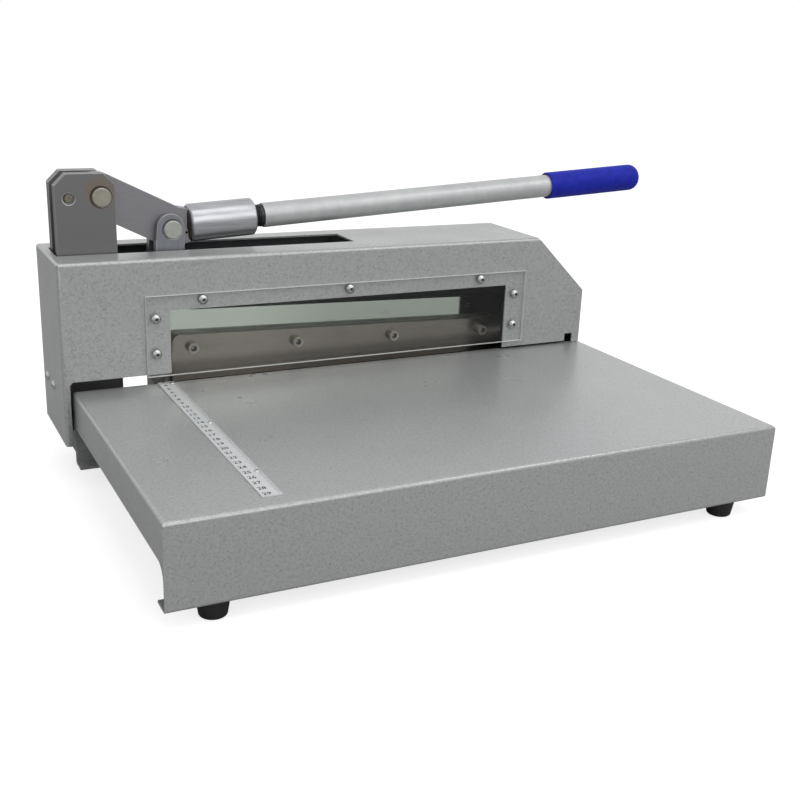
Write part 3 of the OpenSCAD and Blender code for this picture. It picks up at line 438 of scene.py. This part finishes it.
# Ground tool steel: a soft brownish grey sheen with fine lines along its length, clouded by oil and age.
blade_steel, tree = blank("ground_tool_steel")
place = add(tree, "TexCoord", {}).outputs["Object"]
line = strands(tree, place, (0.06, 0.0006, 0.0006), 3)
stain = cloud(tree, place, 0.035, 3)
shade = tones(tree, stain, (0.3, "#7F7A73"), (0.7, "#86817A"))
gloss = spread(tree, line, 0.215, 0.225, 0.3, 0.7)
coated(tree, {"Base Color": shade, "Metallic": 0.9, "Roughness": gloss})

# Mill scale: the blade's top and ends are as rolled, a dull blackish olive.
mill_scale, tree = blank("mill_scale")
place = add(tree, "TexCoord", {}).outputs["Object"]
crust = cloud(tree, place, 0.004, 4)
shade = tones(tree, crust, (0.3, "#393B31"), (0.7, "#47493D"))
coated(tree, {"Base Color": shade, "Metallic": 0.3, "Roughness": 0.55})
form = merged("upper_blade")
broken(form, 0.0004)
for face in form.faces:
    face.material_index = 1 if face.normal.z > 0.3 or abs(face.normal.x) > 0.5 else 0
upper_blade = finished(form, "upper_blade_ground", "beam", blade_steel)
upper_blade.data.materials.append(mill_scale)
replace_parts(upper_blade, "upper_blade")

# Bearing bronze: warm, dull and smooth; a bush is pressed into the beam and another into the lever.
bronze, tree = blank("bearing_bronze")
place = add(tree, "TexCoord", {}).outputs["Object"]
haze = cloud(tree, place, 0.003, 3)
gloss = spread(tree, haze, 0.25, 0.45)
coated(tree, {"Base Color": linear("#A87B45"), "Metallic": 1.0, "Roughness": gloss})
eased("beam", bronze, 0.0002, "beam_bush")
eased("lever", bronze, 0.0002, "lever_bush")


# Links: two flat bars that pull the beam's lug down, one on each side of the lever.
# Each is cut from plate, bored for the upper pin and slotted for the lower one.
# Zinc-plated plate: lighter than the cheeks, a cool grey with a brushed grain.
link_plate, tree = blank("zinc_plated_plate")
shadow_in, shadow_out = 0.0086, 0.0094
place = add(tree, "TexCoord", {}).outputs["Object"]
grain = strands(tree, place, (0.001, 0.001, 0.02), 3)
shade = tones(tree, grain, (0.3, "#75777C"), (0.7, "#83868B"))
# Painted shadow: a dark ring round the link pin's gap, centred a little up and to the left.
ring = spread(tree, from_axis(tree, place, "link_pin", -0.0006, 0.0005), 0.85, 0.0, shadow_in, shadow_out)
colour = add(tree, "Mix", {0: ring, 6: shade, 7: linear("#201D1B")}, data_type="RGBA")
coated(tree, {"Base Color": colour.outputs[2], "Metallic": 0.6, "Roughness": 0.4})
worn("links", link_plate, 0.0005, "front_link", "rear_link")
eased("beam", yellow_zinc, 0.0002, "low_link_pin")
eased("beam", black_steel, 0.0001, "low_pin_rings")


# Lever: a thick flat plate that turns on the main pin and pulls the links, cut to shape and dressed.
# Its far end is butt-welded to the handle's socket, and the weld is left rough and burnt.
# Dressed plate: mid grey with a violet cast, a fine sanded grain and a satin sheen.
lever_plate, tree = blank("dressed_steel_plate")
place = add(tree, "TexCoord", {}).outputs["Object"]
sanding_tilt = radians(27)
grain = strands(tree, place, (0.012, 0.0004, 0.0004), 3, sanding_tilt)
shade = tones(tree, grain, (0.3, "#818084"), (0.7, "#89888C"))
gloss = spread(tree, grain, 0.36, 0.48)
coated(tree, {"Base Color": shade, "Metallic": 0.65, "Roughness": gloss})
worn("lever", lever_plate, 0.0004, "lever_plate")

# Clear zinc plate: the newer link pin is paler and greyer than the others.
clear_zinc, tree = blank("clear_zinc_plate")
place = add(tree, "TexCoord", {}).outputs["Object"]
haze = cloud(tree, place, 0.005, 4)
shade = tones(tree, haze, (0.3, "#9D9E98"), (0.7, "#ADAEA8"))
coated(tree, {"Base Color": shade, "Metallic": 0.6, "Roughness": 0.42})
eased("lever", clear_zinc, 0.0002, "link_pin")
eased("lever", black_steel, 0.0001, "link_pin_ring")

# Burnt weld: dark brown scale with a few bright specks, rough all over.
burnt_weld, tree = blank("burnt_weld")
place = add(tree, "TexCoord", {}).outputs["Object"]
scale = cloud(tree, place, 0.002, 4)
shade = tones(tree, scale, (0.3, "#17120F"), (0.55, "#352A24"), (0.8, "#5E5650"))
skin = add(tree, "Bump", {"Height": scale, "Strength": 0.6, "Distance": 0.0006})
coated(tree, {"Base Color": shade, "Metallic": 0.4, "Roughness": 0.6, "Normal": skin.outputs["Normal"]})

handle_tilt = radians(3.5)
socket_low, socket_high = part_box("socket")
socket_r = (socket_high[1] - socket_low[1]) / 2
socket_chamfer = 0.0015
socket_end = Vector((socket_low[0] + (socket_r - socket_chamfer) * sin(handle_tilt), socket_low[1] + socket_r,
                     socket_low[2] + socket_r * cos(handle_tilt) - socket_chamfer * sin(handle_tilt)))
along = Vector((cos(handle_tilt), 0, sin(handle_tilt)))
across = Vector((-sin(handle_tilt), 0, cos(handle_tilt)))
plate_low, plate_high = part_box("lever_plate")
dribble = random.Random(4)


def bead(name, body, finish, path, thick):
    """A run of weld: a lumpy round bead along a path, thicker and thinner from drop to drop."""
    run = bpy.data.curves.new(name, "CURVE")
    run.dimensions = "3D"
    run.bevel_depth = thick
    run.bevel_resolution = 3
    run.use_fill_caps = True
    line = run.splines.new("POLY")
    line.points.add(len(path) - 1)
    for point, spot in zip(line.points, path):
        point.co = (*spot, 1)
        point.radius = 0.7 + 0.5 * dribble.random()
    line.points[0].radius = line.points[-1].radius = 0.35
    drawn = bpy.data.objects.new(name, run)
    mesh = bpy.data.meshes.new_from_object(drawn)
    bpy.data.objects.remove(drawn)
    bpy.data.curves.remove(run)
    form = bmesh.new()
    form.from_mesh(mesh)
    bpy.data.meshes.remove(mesh)
    bmesh.ops.remove_doubles(form, verts=form.verts, dist=1e-6)
    bmesh.ops.recalc_face_normals(form, faces=form.faces)
    piece = finished(form, name, body, finish, crease=80)


weld_length, weld_r, drops = 0.0262, 0.0021, 15
weld_start = socket_end - 0.0002 * along - 0.0138 * across
for side, y in (("front", plate_low[1]), ("back", plate_high[1])):
    spots = [weld_start + across * weld_length * i / (drops - 1) for i in range(drops)]
    bead(side + "_weld", "lever", burnt_weld, [Vector((spot.x, y, spot.z)) for spot in spots], weld_r)


# Handle: a turned socket, a threaded stud, a painted tube screwed onto it and a blue grip dipped over the end.
# The socket is welded to the lever plate, so the handle lies in line with the lever's far end.
# Turned steel: bright, with cloudy lengthwise bands and a clean chamfer at each end.
turned_steel, tree = blank("turned_bright_steel")
place = add(tree, "TexCoord", {}).outputs["Object"]
band = strands(tree, place, (0.03, 0.003, 0.003), 4, handle_tilt)
shade = tones(tree, band, (0.3, "#97989C"), (0.7, "#AFB0B4"))
gloss = spread(tree, band, 0.28, 0.33, 0.3, 0.7)
coated(tree, {"Base Color": shade, "Metallic": 0.8, "Roughness": gloss})
eased("lever", turned_steel, 0.0005, "socket")


def turned(node, body, finish, profile, steps=64):
    """A lathe piece on the handle's axis from (length, radius) points, both in millimetres."""
    form = bmesh.new()
    points = [form.verts.new((radius / 1000, 0, length / 1000)) for length, radius in profile]
    lines = [form.edges.new(pair) for pair in zip(points, points[1:])]
    bmesh.ops.spin(form, geom=points + lines, cent=(0, 0, 0), axis=(0, 0, 1), dvec=(0, 0, 0), angle=2 * pi,
                   steps=steps, use_merge=True, use_duplicate=False)
    bmesh.ops.remove_doubles(form, verts=form.verts, dist=1e-6)
    bmesh.ops.recalc_face_normals(form, faces=form.faces)
    bmesh.ops.transform(form, verts=form.verts,
                        matrix=Matrix.Translation(socket_end) @ Matrix.Rotation(pi / 2 - handle_tilt, 4, "Y"))
    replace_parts(finished(form, node + "_turned", body, finish), node)


# Blacked thread: dark crests that catch a thin line of light. Lengths and radii are in millimetres.
stud_start, socket_mouth, tube_start, stud_end = 30, 60, 69, 93
socket_fit, tube_fit, thread_pitch, crest, root, collar = 8.99, 8.97, 1.75, 9.9, 9.2, 10.0
stud_profile = [(stud_start, 0), (stud_start, socket_fit), (socket_mouth, socket_fit), (socket_mouth, 9.3)]
for turn in range(3):
    start = socket_mouth + thread_pitch * turn
    stud_profile += [(start + 0.6, crest), (start + 1.1, crest), (start + 1.7, root)]
stud_profile += [(tube_start - 3.4, root), (tube_start - 3.2, collar - 0.2), (tube_start - 2.9, collar),
                 (tube_start - 0.4, collar), (tube_start, collar - 0.3), (tube_start, tube_fit), (stud_end, tube_fit),
                 (stud_end, 0)]
turned("handle_stud", "lever", black_steel, stud_profile)

# Silver paint on tube: pale, matt, faintly clouded, with a fine orange peel.
silver_tube, tree = blank("silver_painted_tube")
place = add(tree, "TexCoord", {}).outputs["Object"]
haze = cloud(tree, place, 0.012, 4)
shade = tones(tree, haze, (0.3, "#A8AAAB"), (0.7, "#B6B8B8"))
peel = cloud(tree, place, 0.0015, 2)
skin = add(tree, "Bump", {"Height": peel, "Strength": 0.15, "Distance": 0.0002})
coated(tree, {"Base Color": shade, "Metallic": 0.35, "Roughness": 0.42, "Normal": skin.outputs["Normal"]})
eased("lever", silver_tube, 0.0005, "handle_tube")

# Dipped vinyl: saturated blue, soft sheen, slightly pebbled.
blue_vinyl, tree = blank("blue_dipped_vinyl")
place = add(tree, "TexCoord", {}).outputs["Object"]
haze = cloud(tree, place, 0.008, 4)
shade = tones(tree, haze, (0.3, "#0E1A90"), (0.7, "#1523A2"))
pore = cloud(tree, place, 0.0014, 3)
skin = add(tree, "Bump", {"Height": pore, "Strength": 0.3, "Distance": 0.0003})
coated(tree, {"Base Color": shade, "Roughness": 0.6, "Specular IOR Level": 0.2, "Normal": skin.outputs["Normal"]})

# The grip's section in millimetres: its bore, the rolled lip at the mouth, and a dome over the tube's end.
mouth, bore_end, dome_start = 374, 478.5, 476.5
bore, skin_r, dome_r, dome_steps = 11.04, 13.25, 10, 8
grip_profile = [(bore_end, 0), (bore_end, bore), (mouth + 13, bore), (mouth + 5, 11.2), (mouth + 1.2, 11.7),
                (mouth + 0.2, 12.1), (mouth, 12.5), (mouth + 0.2, 12.9), (mouth + 0.8, 13.2), (mouth + 1.8, skin_r),
                (dome_start, skin_r)]
for step in range(1, dome_steps + 1):
    swing = step * pi / (2 * dome_steps)
    grip_profile.append((dome_start + dome_r * sin(swing), skin_r - dome_r + dome_r * cos(swing)))
grip_profile.append((dome_start + dome_r, 0))
turned("grip", "lever", blue_vinyl, grip_profile)


# Housing: 1.5 mm sheet folded over the blades, with a window, a feed gap, a slot for the lever and an open back.
# It is painted like the bed and screwed to the mounting bars from both ends.
# Painted shade: the inside is coloured a dark matt grey, standing in for the shade within the housing, so the blades
# stand out.
inside_shade_grey, tree = blank("housing_inside_painted_shade")
place = add(tree, "TexCoord", {}).outputs["Object"]
mist = cloud(tree, place, 0.01, 3)
shade = tones(tree, mist, (0.3, "#35393B"), (0.7, "#3E4245"))
coated(tree, {"Base Color": shade, "Roughness": 0.65})
form = merged("housing")
broken(form, 0.0002)
core = (Vector(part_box("housing")[0]) + Vector(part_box("housing")[1])) / 2
sheet_edge = 0.002
# Inward faces of the sheet, not its cut edges, take the painted shade.
for face in form.faces:
    inward = face.normal.dot(face.calc_center_median() - core) < 0
    face.material_index = 1 if inward and 2 * face.calc_area() / face.calc_perimeter() > sheet_edge else 0
housing = finished(form, "housing_painted", "frame", hammered_paint)
housing.data.materials.append(inside_shade_grey)
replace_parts(housing, "housing")
socketed("housing_screws", "frame", plated_steel, 0.0002, 0, 0.0015)


# Guard: 3 mm clear acrylic sheet screwed over the window, with sawn edges that carry the light.
# Seven button heads hold it to the housing; the sheet to be cut goes in below it.
# Clear cast acrylic: a very faint mirror on each face, and everything behind it shows through.
clear_acrylic, tree = blank("clear_acrylic")
coated(tree, {"Base Color": linear("#F3F5F4"), "Metallic": 1.0, "Roughness": 0.03, "Alpha": 0.016})

# Sawn acrylic edge: frosted white lines, with a faint painted glow for the light trapped in the sheet that comes out
# there.
frosted_edge, tree = blank("sawn_acrylic_edge")
place = add(tree, "TexCoord", {}).outputs["Object"]
saw = cloud(tree, place, 0.0015, 2)
shade = tones(tree, saw, (0.3, "#B0B2AF"), (0.7, "#C0C2BF"))
coated(tree, {"Base Color": shade, "Roughness": 0.35, "IOR": 1.49,
              "Emission Color": linear("#C2C5C1"), "Emission Strength": 0.18})

# The sheet's back stands a hair off the paint, and its broken edges are frosted with the sawn ones.
form = merged("guard")
guard_low, guard_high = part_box("guard")
back_gap, edge_break, edge_zone = 0.0002, 0.0005, 0.0006
for vert in form.verts:
    if vert.co.y > guard_high[1] - back_gap / 2:
        vert.co.y -= back_gap
broken(form, edge_break)
for face in form.faces:
    middle = face.calc_center_median()
    inset = min(middle.x - guard_low[0], guard_high[0] - middle.x, middle.z - guard_low[2], guard_high[2] - middle.z)
    face.material_index = 1 if inset < edge_zone else 0
guard = finished(form, "guard_sheet", "frame", clear_acrylic)
guard.data.materials.append(frosted_edge)
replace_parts(guard, "guard")
socketed("guard_screws", "frame", plated_steel, 0.00015, 1, 0.0015)


# Studio: a white floor that runs out of sight, under an even white sky.
# Three soft boxes shape the object: one overhead, a key at the right and a wide fill in front.
floor_mesh = bpy.data.meshes.new("floor")
form = bmesh.new()
bmesh.ops.create_grid(form, x_segments=1, y_segments=1, size=6.0)
form.to_mesh(floor_mesh)
form.free()
floor = bpy.data.objects.new("floor", floor_mesh)
bpy.context.scene.collection.objects.link(floor)
white_floor, tree = blank("white_floor")
ray = add(tree, "LightPath", {})
seen = add(tree, "Math", {0: ray.outputs["Is Camera Ray"], 1: ray.outputs["Is Transmission Ray"]}, operation="MAXIMUM")
matt = add(tree, "BsdfDiffuse", {"Color": linear("#AEAEAE")})
glow = add(tree, "Emission", {"Color": (1, 1, 1, 1), "Strength": 0.75})
lit = add(tree, "AddShader", {0: matt.outputs[0], 1: glow.outputs[0]})
both = add(tree, "MixShader", {"Fac": seen.outputs[0], 1: matt.outputs[0], 2: lit.outputs[0]})
add(tree, "OutputMaterial", {"Surface": both.outputs[0]})
floor_mesh.materials.append(white_floor)

world = bpy.data.worlds.new("studio")
world.use_nodes = True
world.node_tree.nodes.clear()
tree = world.node_tree
ray = add(tree, "LightPath", {})
seen = add(tree, "Math", {0: ray.outputs["Is Camera Ray"], 1: ray.outputs["Is Glossy Ray"]}, operation="MAXIMUM")
seen = add(tree, "Math", {0: seen.outputs[0], 1: ray.outputs["Is Transmission Ray"]}, operation="MAXIMUM")
level = spread(tree, seen.outputs[0], 0.78, 1.0)
sky = add(tree, "Background", {"Color": (1, 1, 1, 1), "Strength": level})
add(tree, "OutputWorld", {"Surface": sky.outputs[0]})
bpy.context.scene.world = world


def lamp(name, place, aim, size, power):
    """A square soft box that faces the point it is aimed at."""
    light = bpy.data.lights.new(name, "AREA")
    light.shape = "SQUARE"
    light.size = size
    light.energy = power
    box = bpy.data.objects.new(name, light)
    box.location = place
    box.rotation_euler = (Vector(aim) - Vector(place)).to_track_quat("-Z", "Y").to_euler()
    bpy.context.scene.collection.objects.link(box)


middle = (0, 0, 0.1)
lamp("overhead", (-0.1, -0.5, 1.9), middle, size=0.9, power=6)
lamp("right_key", (0.95, -0.85, 1.55), middle, size=0.7, power=5)
lamp("front_fill", (0.2, -2.0, 1.3), middle, size=1.2, power=9.5)

# Camera: where the photographer stood, a little left of the bed and above it.
# Its place, turn and lens were fitted to the straight edges of the bed and the housing.
eye = bpy.data.cameras.new("camera")
eye.sensor_fit = "HORIZONTAL"
eye.sensor_width = 36.0
eye.lens = 49.858
eye.clip_start = 0.05
camera = bpy.data.objects.new("camera", eye)
right = Vector((0.89383, -0.44686, 0.03715))
up = Vector((0.1093, 0.2974, 0.9485))
back = right.cross(up).normalized()
up = back.cross(right).normalized()
turn = Matrix((right.normalized(), up, back)).transposed().to_4x4()
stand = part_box("bed")[0] + Vector((-0.15842, -0.62243, 0.3584))
camera.matrix_world = Matrix.Translation(stand) @ turn
bpy.context.scene.collection.objects.link(camera)
bpy.context.scene.camera = camera

bpy.context.scene.view_settings.view_transform = "Standard"
